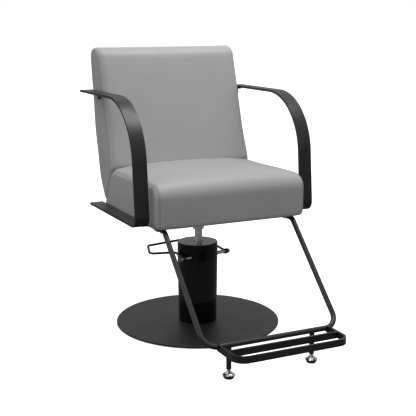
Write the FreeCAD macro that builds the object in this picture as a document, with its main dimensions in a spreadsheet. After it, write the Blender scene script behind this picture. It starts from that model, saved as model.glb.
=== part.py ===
import FreeCAD, Part
import math
import os
import re
import Sketcher

# Hydraulic styling chair, millimetres.  +Z is up, the sitter faces -Y, and the origin lies on the
# floor under the axis of the lifting ram.  "right" and "left" are the sitter's own.

doc = FreeCAD.newDocument("StylingChair")
dim = doc.addObject("Spreadsheet::Sheet", "dim")
Vector = FreeCAD.Vector
Rotation = FreeCAD.Rotation

sizes = {
    # base disc and the three-part pump cover; the housing stands a little off the ram's axis
    "housingX": -4, "padRadius": 294, "padTop": 2, "discRadius": 300, "discTop": 10, "discEdge": 1.5,
    "lowerRadius": 70.3, "lowerTop": 89, "middleLow": 71.3, "middleHigh": 73.4, "middleTop": 247,
    "capRadius": 73.6, "capTop": 306.5, "capRound": 2.5, "coverWall": 2.5, "capHole": 16.5,
    "baseBoltRing": 46, "baseBolt": 5, "baseBoltHead": 9,
    # pump: reservoir, cylinder, head, guide
    "tankFlange": 60, "tankFlangeTop": 18, "tankRadius": 58, "tankBore": 50, "tankFloor": 24, "tankTop": 232,
    "tubeRadius": 24, "tubeBore": 20, "headTop": 244, "neckRadius": 27, "neckTop": 300,
    "bushLow": 262, "bushTop": 295, "bushRadius": 18, "neckBore": 15, "runFit": 0.05, "ramRadius": 14,
    "headBoltRing": 54, "headBolt": 2.5,
    # piston and ram
    "pistonLow": 50, "pistonTop": 75, "spigotRadius": 9, "spigotLow": 60, "washerTop": 77, "sealLow": 57,
    "sealTop": 64, "sealInner": 16.5, "taperLow": 362, "taperTop": 412, "taperRadius": 12,
    # pedal: axle frame turned about Z, the loop's plane tilted up towards the rear
    "pedalTurn": 10.6, "pedalTilt": 9.6, "axleBack": -37, "axleHeight": 260, "axleRadius": 7,
    "axleLeft": -98, "axleRight": 104, "earWidth": 12, "earInner": 34, "earFront": -47, "earRear": -24,
    "axleBush": 9, "lugRadius": 10, "lugWidth": 12, "loopRod": 4.5, "axleScrew": 3, "axleScrewHead": 8,
    "rockerStart": -31, "rockerWidth": 8, "rockerReach": 14, "rockerHub": 10, "rockerNose": 5,
    "plungerRadius": 4, "barrelRadius": 8, "barrelTop": 226, "plungerLow": 150, "plungerCap": 6.5, "plungerTip": 3.8,
    "springLow": 226, "springTop": 250, "springRadius": 6, "springWire": 0.7, "springPitch": 4,
    # seat
    "seatHalf": 283.7, "seatFront": -281, "seatLow": 427.5, "seatHigh": 582, "seatRear": 219,
    "seatRearRise": 441, "nookBack": 130, "boardHalf": 273, "boardFront": -250, "boardRear": 190,
    "boardLow": 428, "boardTop": 443, "seatRound": 52, "coverSkin": 1.5,
    "hubRadius": 20, "hubLow": 352, "plateLow": 421.5, "plateHalf": 100, "plateBolt": 4, "plateBoltAt": 75,
    "insertRadius": 6, "insertFlange": 10, "insertFlangeHigh": 1.5,
    # backrest, leaning back with its board and two flat steel struts
    "backTop": 1003, "backFrontTop": 263, "backRearTop": 340, "backLean": 9.35, "strutX": 130,
    "strutWidth": 40, "strutThick": 6, "strutFront": 30, "strutFoot": 192, "strutHigh": 768,
    "strutRound": 16, "backBoardLow": 62, "backBoardLong": 450, "backBoardHalf": 250, "backBoardThick": 12,
    "strutBolt": 3, "strutBoltHead": 6,
    # armrests: one bent flat bar each side
    "armOuter": 337.4, "armWidth": 49.4, "armThick": 8, "armTop": 847, "armLow": 432, "armRearTop": 301,
    "armRearLow": 220.5, "armFrontTop": -200.4, "armFrontLow": -236.7, "armBend": 218, "armFoot": 35,
    "tabInner": 256, "tabThick": 4, "tabWide": 45, "tabFront": -150, "tabRear": 130,
    "tabScrew": 3, "tabScrewHead": 6, "bracketY": 236, "bracketWide": 22, "bracketLeg": 24,
    # footrest: bent tube, flat-bar frame, posts and levelling glides
    "legX": 243.5, "tubeOuter": 9, "tubeInner": 7.2, "legTopY": -253, "legTopZ": 418.5, "legStart": -60,
    "barY": -553, "barZ": 115, "legTopRound": 30, "barRound": 50,
    "frameHalf": 202, "frameFront": -689, "frameTop": 125, "frameHigh": 22, "frameThick": 8,
    "frameRound": 42, "slatY": -619, "postX": 152.5, "postY": -538, "postRadius": 8.5, "postLow": 30,
    "saddleThick": 2.5, "saddleWide": 18, "saddleFront": -200, "saddleRear": -95, "saddleFoot": 16,
    "glideStem": 5, "glideSole": 14.5, "glideRadius": 20.5, "glideLow": 11, "glideTop": 24,
}

for row, (alias, size) in enumerate(sizes.items(), start=1):
    dim.set("A%d" % row, alias)
    dim.set("B%d" % row, str(size))
    dim.setAlias("B%d" % row, alias)
doc.recompute()

nodes = {}


def value(expression):
    """The number that an expression of sheet names gives."""
    return float(dim.evalExpression(expression))


def bind(item, prop, expression):
    """Ties a property to the sheet; bare names in the expression are cells of the sheet."""
    item.setExpression(prop, re.sub(r"[a-z]+[A-Z]\w*", r"dim.\g<0>", expression))


def keep(item, name):
    """Marks an object as the sub-part that is written out under this name."""
    item.Label = name
    nodes[name] = item
    return item


def move(item, x="0", y="0", z="0"):
    bind(item, "Placement.Base.x", x)
    bind(item, "Placement.Base.y", y)
    bind(item, "Placement.Base.z", z)
    return item


directions = {
    "+z": Rotation(),
    "-z": Rotation(Vector(1, 0, 0), 180),
    "+x": Rotation(Vector(0, 1, 0), 90),
    "-x": Rotation(Vector(0, 1, 0), -90),
    "+y": Rotation(Vector(1, 0, 0), -90),
    "-y": Rotation(Vector(1, 0, 0), 90),
}


def rod(radius, length, x="0", y="0", z="0", along="+z"):
    item = doc.addObject("Part::Cylinder", "Rod")
    bind(item, "Radius", radius)
    bind(item, "Height", length)
    item.Placement = FreeCAD.Placement(Vector(), directions[along])
    return move(item, x, y, z)


def box(length, width, height, x="0", y="0", z="0"):
    item = doc.addObject("Part::Box", "Block")
    bind(item, "Length", length)
    bind(item, "Width", width)
    bind(item, "Height", height)
    return move(item, x, y, z)


def cut(base, *tools):
    item = doc.addObject("Part::Cut", "Cut")
    item.Base = base
    item.Tool = tools[0] if len(tools) == 1 else group(*tools)
    return item


def fuse(*shapes):
    item = doc.addObject("Part::MultiFuse", "Joined")
    item.Shapes = list(shapes)
    return item


def common(first, second):
    item = doc.addObject("Part::MultiCommon", "Shared")
    item.Shapes = [first, second]
    return item


def group(*shapes):
    item = doc.addObject("Part::Compound", "Group")
    item.Links = list(shapes)
    return item


def screw(x, y, z, along, shank, length, head, head_height):
    """A screw whose head bears at (x, y, z) and whose shank runs along the given direction."""
    opposite = ("-" if along[0] == "+" else "+") + along[1]
    return fuse(rod(shank, length, x, y, z, along), rod(head, head_height, x, y, z, opposite))


# --- sketch outlines ----------------------------------------------------------------------------


def plane(body, role):
    return next(item for item in body.Origin.OriginFeatures if item.Role == role)


def new_body(name):
    return doc.addObject("PartDesign::Body", name)


def new_sketch(body, role):
    sketch = body.newObject("Sketcher::SketchObject", "Sketch")
    sketch.AttachmentSupport = (plane(body, role), "")
    sketch.MapMode = "FlatFace"
    return sketch


def bind_constraint(sketch, kind, *parts):
    index = sketch.addConstraint(Sketcher.Constraint(kind, *parts[:-1], value(parts[-1])))
    bind(sketch, "Constraints[%d]" % index, parts[-1])


def corner_point(sketch, x, y):
    """A construction point held at a distance from the sketch's origin."""
    point = sketch.addGeometry(Part.Point(Vector(value(x), value(y), 0)), True)
    for kind, size, axis in (("DistanceX", x, -2), ("DistanceY", y, -1)):
        if size == "0":
            sketch.addConstraint(Sketcher.Constraint("PointOnObject", point, 1, axis))
        else:
            bind_constraint(sketch, kind, -1, 1, point, 1, size)
    return point


def outline(sketch, corners, closed=True):
    """Straight runs through the corners (x, y, radius), with a tangent arc at each rounded one."""
    count = len(corners)
    spots = [Vector(value(x), value(y), 0) for x, y, radius in corners]
    points = [corner_point(sketch, x, y) for x, y, radius in corners]
    starts = list(spots)
    ends = list(spots)
    arcs = {}
    for i, (x, y, radius) in enumerate(corners):
        if radius == "0":
            continue
        before = (spots[i - 1] - spots[i]).normalize()
        after = (spots[(i + 1) % count] - spots[i]).normalize()
        half = before.getAngle(after) / 2
        reach = value(radius) / math.tan(half)
        centre = spots[i] + (before + after).normalize() * (value(radius) / math.sin(half))
        starts[i] = spots[i] + after * reach
        ends[i] = spots[i] + before * reach
        left_turn = before.cross(after).z < 0
        first, last = (ends[i], starts[i]) if left_turn else (starts[i], ends[i])
        angles = [math.atan2(p.y - centre.y, p.x - centre.x) for p in (first, last)]
        circle = Part.Circle(centre, Vector(0, 0, 1), value(radius))
        arc = sketch.addGeometry(Part.ArcOfCircle(circle, angles[0], angles[1]), False)
        arcs[i] = (arc, 1, 2) if left_turn else (arc, 2, 1)
    spans = count if closed else count - 1
    lines = []
    for i in range(spans):
        j = (i + 1) % count
        lines.append(sketch.addGeometry(Part.LineSegment(starts[i], ends[j]), False))
    for i in range(spans):
        for corner, end in ((i, 1), ((i + 1) % count, 2)):
            if corner in arcs:
                arc, arriving, leaving = arcs[corner]
                side = leaving if end == 1 else arriving
                sketch.addConstraint(Sketcher.Constraint("Tangent", lines[i], end, arc, side))
                sketch.addConstraint(Sketcher.Constraint("PointOnObject", points[corner], 1, lines[i]))
            else:
                sketch.addConstraint(Sketcher.Constraint("Coincident", lines[i], end, points[corner], 1))
    for i, (arc, arriving, leaving) in arcs.items():
        bind_constraint(sketch, "Radius", arc, corners[i][2])


def sharp(*points):
    return [(x, y, "0") for x, y in points]


def padded(body, role, corners, length, holes=(), midplane=True):
    """A prism of the outline, less any round holes (x, y, radius), about the sketch's plane."""
    sketch = new_sketch(body, role)
    outline(sketch, corners)
    for x, y, radius in holes:
        circle = sketch.addGeometry(Part.Circle(Vector(value(x), value(y), 0), Vector(0, 0, 1), value(radius)))
        bind_constraint(sketch, "DistanceX", -1, 1, circle, 3, x)
        bind_constraint(sketch, "DistanceY", -1, 1, circle, 3, y)
        bind_constraint(sketch, "Radius", circle, radius)
    pad = body.newObject("PartDesign::Pad", "Pad")
    pad.Profile = sketch
    pad.Midplane = midplane
    bind(pad, "Length", length)
    return pad


def turned(name, *points):
    """A turned piece: the outline (radius, height) revolved about the body's own Z axis."""
    body = new_body(name)
    sketch = new_sketch(body, "XZ_Plane")
    outline(sketch, [point if len(point) == 3 else (*point, "0") for point in points])
    feature = body.newObject("PartDesign::Revolution", "Revolution")
    feature.Profile = sketch
    feature.ReferenceAxis = (sketch, ["V_Axis"])
    feature.Angle = 360
    return body


# --- base and pump ------------------------------------------------------------------------------


def on_pump(item, u, v, z, along="+z"):
    """Places an item in the pump's own frame: U along the pedal axle, V to the rear."""
    turn = Rotation(Vector(0, 0, 1), value("pedalTurn"))
    spot = turn.multVec(Vector(value(u), value(v), value(z)))
    item.Placement = FreeCAD.Placement(spot, turn * directions[along])
    return item


def plain_rod(radius, length):
    item = doc.addObject("Part::Cylinder", "Rod")
    bind(item, "Radius", radius)
    bind(item, "Height", length)
    return item


def pump_rod(radius, length, u, v, z, along="+x"):
    return on_pump(plain_rod(radius, length), u, v, z, along)


def pump_box(length, width, height, u, v, z):
    item = doc.addObject("Part::Box", "Block")
    bind(item, "Length", length)
    bind(item, "Width", width)
    bind(item, "Height", height)
    return on_pump(item, u, v, z)


def make_base():
    pad = turned("FloorPad", ("0", "0"), ("padRadius", "0"), ("padRadius", "padTop"), ("0", "padTop"))
    keep(move(pad, "housingX"), "floor_pad")
    disc = turned(
        "BaseDisc",
        ("0", "padTop"),
        ("discRadius - discEdge", "padTop"),
        ("discRadius", "padTop + discEdge"),
        ("discRadius", "discTop - discEdge"),
        ("discRadius - discEdge", "discTop"),
        ("0", "discTop"),
    )
    move(disc, "housingX")
    bolts = []
    for side_x in ("+", "-"):
        for side_y in ("+", "-"):
            x = "0 %s baseBoltRing * 0.7071" % side_x
            y = "0 %s baseBoltRing * 0.7071" % side_y
            cone = doc.addObject("Part::Cone", "Countersunk")
            bind(cone, "Radius1", "baseBoltHead")
            bind(cone, "Radius2", "baseBolt")
            bind(cone, "Height", "baseBoltHead - baseBolt")
            move(cone, x, y, "padTop")
            bolts.append(fuse(cone, rod("baseBolt", "tankFloor - padTop - 2", x, y, "padTop")))
    bolt_group = keep(group(*bolts), "base_bolts")
    keep(cut(disc, bolt_group), "base_disc")
    return bolt_group


def make_covers():
    lower = turned(
        "LowerCover",
        ("lowerRadius - coverWall", "discTop"),
        ("lowerRadius", "discTop"),
        ("lowerRadius", "lowerTop"),
        ("lowerRadius - coverWall", "lowerTop"),
    )
    keep(move(lower, "housingX"), "lower_cover")
    middle = turned(
        "MiddleCover",
        ("middleLow - coverWall", "lowerTop"),
        ("middleLow", "lowerTop"),
        ("middleHigh", "middleTop"),
        ("middleHigh - coverWall", "middleTop"),
    )
    keep(move(middle, "housingX"), "middle_cover")
    cap = turned(
        "CapCover",
        ("capRadius - coverWall", "middleTop"),
        ("capRadius", "middleTop"),
        ("capRadius", "capTop", "capRound"),
        ("0", "capTop"),
        ("0", "capTop - coverWall"),
        ("capRadius - coverWall", "capTop - coverWall"),
    )
    move(cap, "housingX")
    ram_hole = rod("capHole", "coverWall * 3", "0", "0", "capTop - coverWall * 2")
    axle_slot = pump_rod("axleRadius + 1.5", "capRadius * 3", "0 - capRadius * 1.5", "axleBack", "axleHeight")
    keep(cut(cap, ram_hole, axle_slot), "cap_cover")


def make_pump(bolt_group):
    tank = turned(
        "PumpTank",
        ("0", "discTop"),
        ("tankFlange", "discTop"),
        ("tankFlange", "tankFlangeTop"),
        ("tankRadius", "tankFlangeTop"),
        ("tankRadius", "tankTop"),
        ("tankBore", "tankTop"),
        ("tankBore", "tankFloor"),
        ("0", "tankFloor"),
    )
    head_bolts = []
    for angle in ("60", "120", "270 + pedalTurn - 15", "270 + pedalTurn + 15"):
        x = "headBoltRing * cos(%s)" % angle
        y = "headBoltRing * sin(%s)" % angle
        head_bolts.append(screw(x, y, "headTop", "-z", "headBolt", "22", "headBolt * 1.6", "headBolt"))
    head_bolts = keep(group(*head_bolts), "head_bolts")
    keep(cut(tank, bolt_group, head_bolts), "pump_tank")
    tube = turned(
        "CylinderTube",
        ("tubeBore", "tankFloor"),
        ("tubeRadius", "tankFloor"),
        ("tubeRadius", "tankTop"),
        ("tubeBore", "tankTop"),
    )
    keep(tube, "cylinder_tube")
    head = turned(
        "PumpHead",
        ("neckBore", "tankTop"),
        ("tankRadius", "tankTop"),
        ("tankRadius", "headTop"),
        ("neckRadius", "headTop"),
        ("neckRadius", "neckTop"),
        ("bushRadius", "neckTop"),
        ("bushRadius", "bushLow"),
        ("neckBore", "bushLow"),
    )
    ears = []
    for start in ("0 - earInner - earWidth", "earInner"):
        ears.append(pump_box("earWidth", "earRear - earFront", "axleHeight + 14 - headTop", start, "earFront", "headTop"))
    bush_holes = [
        pump_rod("axleBush", "earWidth", start, "axleBack", "axleHeight")
        for start in ("0 - earInner - earWidth", "earInner")
    ]
    plunger_hole = pump_rod(
        "barrelRadius + 0.5", "headTop - tankTop + 2", "rockerStart + rockerWidth / 2",
        "axleBack + rockerReach", "tankTop - 2", "+z",
    )
    keep(cut(fuse(head, *ears), *bush_holes, plunger_hole, head_bolts), "pump_head")
    bush = turned(
        "RamBush",
        ("ramRadius + runFit", "bushLow"),
        ("bushRadius", "bushLow"),
        ("bushRadius", "bushTop"),
        ("ramRadius + runFit", "bushTop"),
    )
    keep(bush, "ram_bush")
    wiper = turned(
        "RamWiper",
        ("ramRadius + runFit", "bushTop"),
        ("bushRadius", "bushTop"),
        ("bushRadius", "neckTop"),
        ("ramRadius + runFit * 4", "neckTop"),
        ("ramRadius + runFit", "neckTop - 2"),
    )
    keep(wiper, "ram_wiper")
    bushes = []
    for start in ("0 - earInner - earWidth", "earInner"):
        outer = pump_rod("axleBush", "earWidth", start, "axleBack", "axleHeight")
        inner = pump_rod("axleRadius + runFit", "earWidth + 2", start + " - 1", "axleBack", "axleHeight")
        bushes.append(cut(outer, inner))
    keep(group(*bushes), "axle_bushes")


def make_piston_and_ram():
    piston = turned(
        "PistonHead",
        ("0", "pistonLow"),
        ("tubeBore - runFit", "pistonLow"),
        ("tubeBore - runFit", "sealLow"),
        ("sealInner", "sealLow"),
        ("sealInner", "sealTop"),
        ("tubeBore - runFit", "sealTop"),
        ("tubeBore - runFit", "pistonTop"),
        ("spigotRadius", "pistonTop"),
        ("spigotRadius", "spigotLow"),
        ("0", "spigotLow"),
    )
    keep(piston, "piston_head")
    seal = turned(
        "PistonSeal",
        ("sealInner", "sealLow"),
        ("tubeBore - runFit", "sealLow"),
        ("tubeBore - runFit", "sealTop"),
        ("sealInner", "sealTop"),
    )
    keep(seal, "piston_seal")
    washer = turned(
        "ThrustWasher",
        ("spigotRadius", "pistonTop"),
        ("ramRadius", "pistonTop"),
        ("ramRadius", "washerTop"),
        ("spigotRadius", "washerTop"),
    )
    keep(washer, "thrust_washer")
    ram = turned(
        "PistonRod",
        ("0", "spigotLow + 1"),
        ("spigotRadius - runFit", "spigotLow + 1"),
        ("spigotRadius - runFit", "washerTop"),
        ("ramRadius", "washerTop"),
        ("ramRadius", "taperLow"),
        ("taperRadius", "taperTop"),
        ("0", "taperTop"),
    )
    keep(ram, "lift_ram")


# --- pedal --------------------------------------------------------------------------------------


def make_pedal():
    axle = pump_rod("axleRadius", "axleRight - axleLeft", "axleLeft", "axleBack", "axleHeight")
    screws = []
    for u, along in (("axleLeft", "+x"), ("axleRight", "-x")):
        opposite = "-x" if along == "+x" else "+x"
        head = pump_rod("axleScrewHead", "axleScrewHead", u, "axleBack", "axleHeight", opposite)
        socket = doc.addObject("Part::Prism", "HexSocket")
        socket.Polygon = 6
        bind(socket, "Circumradius", "axleScrewHead * 0.55")
        bind(socket, "Height", "axleScrewHead * 0.6")
        mouth = "axleLeft - axleScrewHead" if along == "+x" else "axleRight + axleScrewHead"
        on_pump(socket, mouth, "axleBack", "axleHeight", along)
        shank = pump_rod("axleScrew", "axleScrewHead * 2", u, "axleBack", "axleHeight", along)
        screws.append(fuse(cut(head, socket), shank))
    screw_group = keep(group(*screws), "axle_screws")
    keep(cut(axle, screw_group), "pedal_axle")

    loop = new_body("PedalLoop")
    path = new_sketch(loop, "XY_Plane")
    left_lug = "axleLeft + lugWidth / 2"
    right_lug = "axleRight - lugWidth / 2"
    corners = [
        (left_lug, "axleRadius + 1", "0"),
        (left_lug + " + 8", "62", "14"),
        (left_lug + " - 88", "89", "12"),
        (left_lug + " - 54", "155", "14"),
        (right_lug, "158", "28"),
        (right_lug, "axleRadius + 1", "0"),
    ]
    outline(path, corners, closed=False)
    section = new_sketch(loop, "XZ_Plane")
    circle = section.addGeometry(Part.Circle(Vector(value(left_lug), 0, 0), Vector(0, 0, 1), value("loopRod")))
    bind_constraint(section, "DistanceX", -1, 1, circle, 3, left_lug)
    section.addConstraint(Sketcher.Constraint("PointOnObject", circle, 3, -1))
    bind_constraint(section, "Radius", circle, "loopRod")
    bind(section, "AttachmentOffset.Base.z", "0 - axleRadius - 1")
    pipe = loop.newObject("PartDesign::AdditivePipe", "Rod")
    pipe.Profile = section
    pipe.Spine = (path, [])
    lugs = new_sketch(loop, "YZ_Plane")
    for radius in ("lugRadius", "axleRadius"):
        ring = lugs.addGeometry(Part.Circle(Vector(0, 0, 0), Vector(0, 0, 1), value(radius)))
        lugs.addConstraint(Sketcher.Constraint("Coincident", ring, 3, -1, 1))
        bind_constraint(lugs, "Radius", ring, radius)
    bind(lugs, "AttachmentOffset.Base.z", "axleLeft")
    left_pad = loop.newObject("PartDesign::Pad", "LeftLug")
    left_pad.Profile = lugs
    bind(left_pad, "Length", "lugWidth")
    more = new_sketch(loop, "YZ_Plane")
    for radius in ("lugRadius", "axleRadius"):
        ring = more.addGeometry(Part.Circle(Vector(0, 0, 0), Vector(0, 0, 1), value(radius)))
        more.addConstraint(Sketcher.Constraint("Coincident", ring, 3, -1, 1))
        bind_constraint(more, "Radius", ring, radius)
    bind(more, "AttachmentOffset.Base.z", "axleRight - lugWidth")
    right_pad = loop.newObject("PartDesign::Pad", "RightLug")
    right_pad.Profile = more
    bind(right_pad, "Length", "lugWidth")
    turn = Rotation(Vector(0, 0, 1), value("pedalTurn"))
    tilt = Rotation(Vector(1, 0, 0), value("pedalTilt"))
    spot = turn.multVec(Vector(0, value("axleBack"), value("axleHeight")))
    loop.Placement = FreeCAD.Placement(spot, turn * tilt)
    keep(loop, "pedal_loop")

    hub = pump_rod("rockerHub", "rockerWidth", "rockerStart", "axleBack", "axleHeight")
    finger = pump_box(
        "rockerWidth", "rockerReach", "rockerNose * 2 - 2", "rockerStart", "axleBack", "axleHeight - rockerNose + 1"
    )
    nose = pump_rod("rockerNose", "rockerWidth", "rockerStart", "axleBack + rockerReach", "axleHeight")
    bore = pump_rod("axleRadius", "rockerWidth", "rockerStart", "axleBack", "axleHeight")
    keep(cut(fuse(hub, finger, nose), bore), "pedal_rocker")


def make_plunger():
    u = "rockerStart + rockerWidth / 2"
    v = "axleBack + rockerReach"
    barrel = pump_rod("barrelRadius", "barrelTop - tankFloor", u, v, "tankFloor", "+z")
    bore = pump_rod("plungerRadius + runFit", "barrelTop - tankFloor - 20", u, v, "tankFloor + 22", "+z")
    keep(cut(barrel, bore), "plunger_barrel")
    shaft = pump_rod("plungerRadius", "springTop - plungerLow", u, v, "plungerLow", "+z")
    cap = pump_rod("plungerCap", "1.5", u, v, "springTop", "+z")
    tip = pump_rod("plungerTip", "axleHeight - rockerNose - 0.3 - springTop", u, v, "springTop", "+z")
    keep(fuse(shaft, cap, tip), "pump_plunger")
    helix = doc.addObject("Part::Helix", "SpringLine")
    bind(helix, "Radius", "springRadius")
    bind(helix, "Pitch", "springPitch")
    bind(helix, "Height", "springTop - springLow - springWire * 2 - 0.4")
    wire = doc.addObject("Part::Circle", "SpringWire")
    bind(wire, "Radius", "springWire")
    wire.Placement = FreeCAD.Placement(Vector(value("springRadius"), 0, 0), directions["+y"])
    coil = doc.addObject("Part::Sweep", "Spring")
    coil.Sections = [wire]
    coil.Spine = (helix, [])
    coil.Solid = True
    coil.Frenet = True
    on_pump(coil, u, v, "springLow + springWire + 0.2")
    keep(coil, "plunger_spring")


# --- seat and backrest --------------------------------------------------------------------------


def leaning(length, width, height, x, rise, depth=0.0):
    """A block that leans back with the struts; rise runs along the strut, depth behind its front face."""
    item = doc.addObject("Part::Box", "Leaning")
    bind(item, "Length", length)
    bind(item, "Width", width)
    bind(item, "Height", height)
    lean = Rotation(Vector(1, 0, 0), -value("backLean"))
    foot = Vector(0, value("strutFoot"), value("boardTop + strutThick / 2"))
    spot = foot + lean.multVec(Vector(0, depth - value("strutThick") / 2, value(rise)))
    spot.x = value(x)
    item.Placement = FreeCAD.Placement(spot, lean)
    return item


def seat_profile():
    return [
        ("seatFront", "seatLow", "8"),
        ("seatFront", "seatHigh", "seatRound"),
        ("nookBack", "seatHigh", "0"),
        ("seatRear", "seatRearRise", "0"),
        ("seatRear - 2", "seatLow", "0"),
    ]


def back_profile():
    return [
        ("nookBack + 1.5", "seatHigh", "0"),
        ("backFrontTop", "backTop", "34"),
        ("backRearTop", "backTop", "36"),
        ("337", "925", "200"),
        ("312", "700", "300"),
        ("267", "526", "200"),
        ("seatRear + 3.5", "seatRearRise", "0"),
    ]


def make_seat():
    hub = turned(
        "SeatHub",
        ("ramRadius", "hubLow"),
        ("hubRadius - 2", "hubLow"),
        ("hubRadius", "hubLow + 2"),
        ("hubRadius", "plateLow - 8"),
        ("hubRadius + 14", "plateLow"),
        ("0", "plateLow"),
        ("0", "taperTop + 2"),
        ("taperRadius", "taperTop + 2"),
        ("taperRadius", "taperTop"),
        ("ramRadius", "taperLow"),
    )
    keep(hub, "seat_hub")
    plate = new_body("SeatPlate")
    edge = "plateHalf"
    low = "0 - plateHalf"
    places = [(x, y) for x in ("plateBoltAt", "0 - plateBoltAt") for y in ("plateBoltAt", "0 - plateBoltAt")]
    padded(
        plate,
        "XY_Plane",
        [(low, low, "18"), (edge, low, "18"), (edge, edge, "18"), (low, edge, "18")],
        "seatLow - plateLow",
        holes=[(x, y, "plateBolt") for x, y in places],
        midplane=False,
    )
    keep(move(plate, "0", "0", "plateLow"), "seat_plate")

    bolts = []
    inserts = []
    for x, y in places:
        bolts.append(screw(x, y, "plateLow", "+z", "plateBolt", "boardTop - plateLow - 3", "plateBolt * 1.7", "5"))
        barrel = rod("insertRadius", "boardTop - boardLow - 2", x, y, "boardLow + 2")
        flange = rod("insertFlange", "insertFlangeHigh", x, y, "boardTop - insertFlangeHigh")
        inserts.append(cut(fuse(barrel, flange), rod("plateBolt", "30", x, y, "boardLow - 5")))
    bolt_group = keep(group(*bolts), "plate_bolts")
    insert_group = keep(group(*inserts), "board_inserts")

    board = box("boardHalf * 2", "boardRear - boardFront", "boardTop - boardLow", "0 - boardHalf", "boardFront", "boardLow")

    strut_screws = []
    struts = []
    for side in ("0 - strutX", "strutX"):
        strut = new_body("BackStrut")
        low = "boardTop"
        foot_y = "strutFoot - strutThick / 2 * tan(backLean)"
        top_y = "strutFoot + (strutHigh - boardTop - strutThick / 2) * tan(backLean)"
        half = "strutThick / 2 / cos(backLean)"
        padded(
            strut,
            "YZ_Plane",
            [
                ("strutFront", low, "0"),
                (foot_y + " + " + half, low, "strutRound + strutThick"),
                (top_y + " + " + half, "strutHigh", "0"),
                (top_y + " - " + half, "strutHigh", "0"),
                (foot_y + " + strutThick * tan(backLean) - " + half, low + " + strutThick", "strutRound"),
                ("strutFront", low + " + strutThick", "0"),
            ],
            "strutWidth",
        )
        struts.append(move(strut, side))
        for y in ("strutFront + 25", "strutFront + 105"):
            strut_screws.append(
                screw(side, y, "boardTop + strutThick", "-z", "strutBolt", "strutThick + 12", "strutBoltHead", "3")
            )
        for rise in ("180", "280"):
            lean = Rotation(Vector(1, 0, 0), -value("backLean"))
            foot = Vector(0, value("strutFoot"), value("boardTop + strutThick / 2"))
            spot = foot + lean.multVec(Vector(0, -value("strutThick") / 2, value(rise)))
            spot.x = value(side)
            shank = plain_rod("strutBolt", "strutThick + backBoardThick - 2")
            shank.Placement = FreeCAD.Placement(spot, lean * directions["+y"])
            head = plain_rod("strutBoltHead", "3")
            head.Placement = FreeCAD.Placement(spot, lean * directions["-y"])
            strut_screws.append(fuse(shank, head))
    screw_group = keep(group(*strut_screws), "strut_screws")
    keep(cut(group(*struts), screw_group), "back_struts")
    return board, bolt_group, insert_group, screw_group


def inside(body):
    """The foam that a cover of even thickness leaves room for."""
    foam = doc.addObject("Part::Offset", "Foam")
    foam.Source = body
    foam.Join = 2
    bind(foam, "Value", "0 - coverSkin")
    return foam


def make_cushions(screw_group):
    seat = new_body("SeatOutline")
    padded(seat, "YZ_Plane", seat_profile(), "seatHalf * 2")
    seat_foam = inside(seat)
    board_room = box(
        "boardHalf * 2 + 2", "boardRear - boardFront + 2", "boardTop - seatLow + 10",
        "0 - boardHalf - 1", "boardFront - 1", "seatLow - 10",
    )
    rooms = [board_room]
    for side in ("0 - strutX", "strutX"):
        start = side + " - strutWidth / 2 - 1"
        rooms.append(box("strutWidth + 2", "seatRear - strutFront + 10", "strutThick + 4.5", start, "strutFront - 3", "boardTop"))
        rooms.append(leaning("strutWidth + 2", "strutThick + 9", "340", start, "0 - 4", -7.0))
    keep(cut(seat_foam, *rooms), "seat_foam")
    keep(cut(seat, seat_foam, *rooms), "seat_cover")

    back = new_body("BackOutline")
    padded(back, "YZ_Plane", back_profile(), "seatHalf * 2")
    back_block = inside(back)
    pocket_side = "0 - backBoardHalf - 2"
    slots = [
        leaning("backBoardHalf * 2 + 4", "300", "backBoardLong + 4", pocket_side, "backBoardLow - 2", value("strutThick"))
    ]
    for side in ("0 - strutX", "strutX"):
        start = side + " - strutWidth / 2 - 1"
        slots.append(leaning("strutWidth + 2", "strutThick + 6", "340", start, "0 - 10", -4.5))
    back_foam = cut(back_block, *slots)
    back_cover = cut(back, back_block, *slots)

    board = leaning(
        "backBoardHalf * 2", "backBoardThick", "backBoardLong", "0 - backBoardHalf", "backBoardLow", value("strutThick")
    )
    keep(cut(board, screw_group), "back_board")
    panel = new_body("RearOutline")
    padded(panel, "YZ_Plane", back_profile(), "backBoardHalf * 2")
    behind = leaning(
        "backBoardHalf * 2", "300", "backBoardLong", "0 - backBoardHalf", "backBoardLow",
        value("strutThick + backBoardThick"),
    )
    panel = common(panel, behind)
    panel_foam = inside(panel)
    keep(panel_foam, "rear_panel_foam")
    keep(cut(panel, panel_foam), "rear_panel_cover")
    return back_foam, back_cover


# --- armrests -----------------------------------------------------------------------------------


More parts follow.
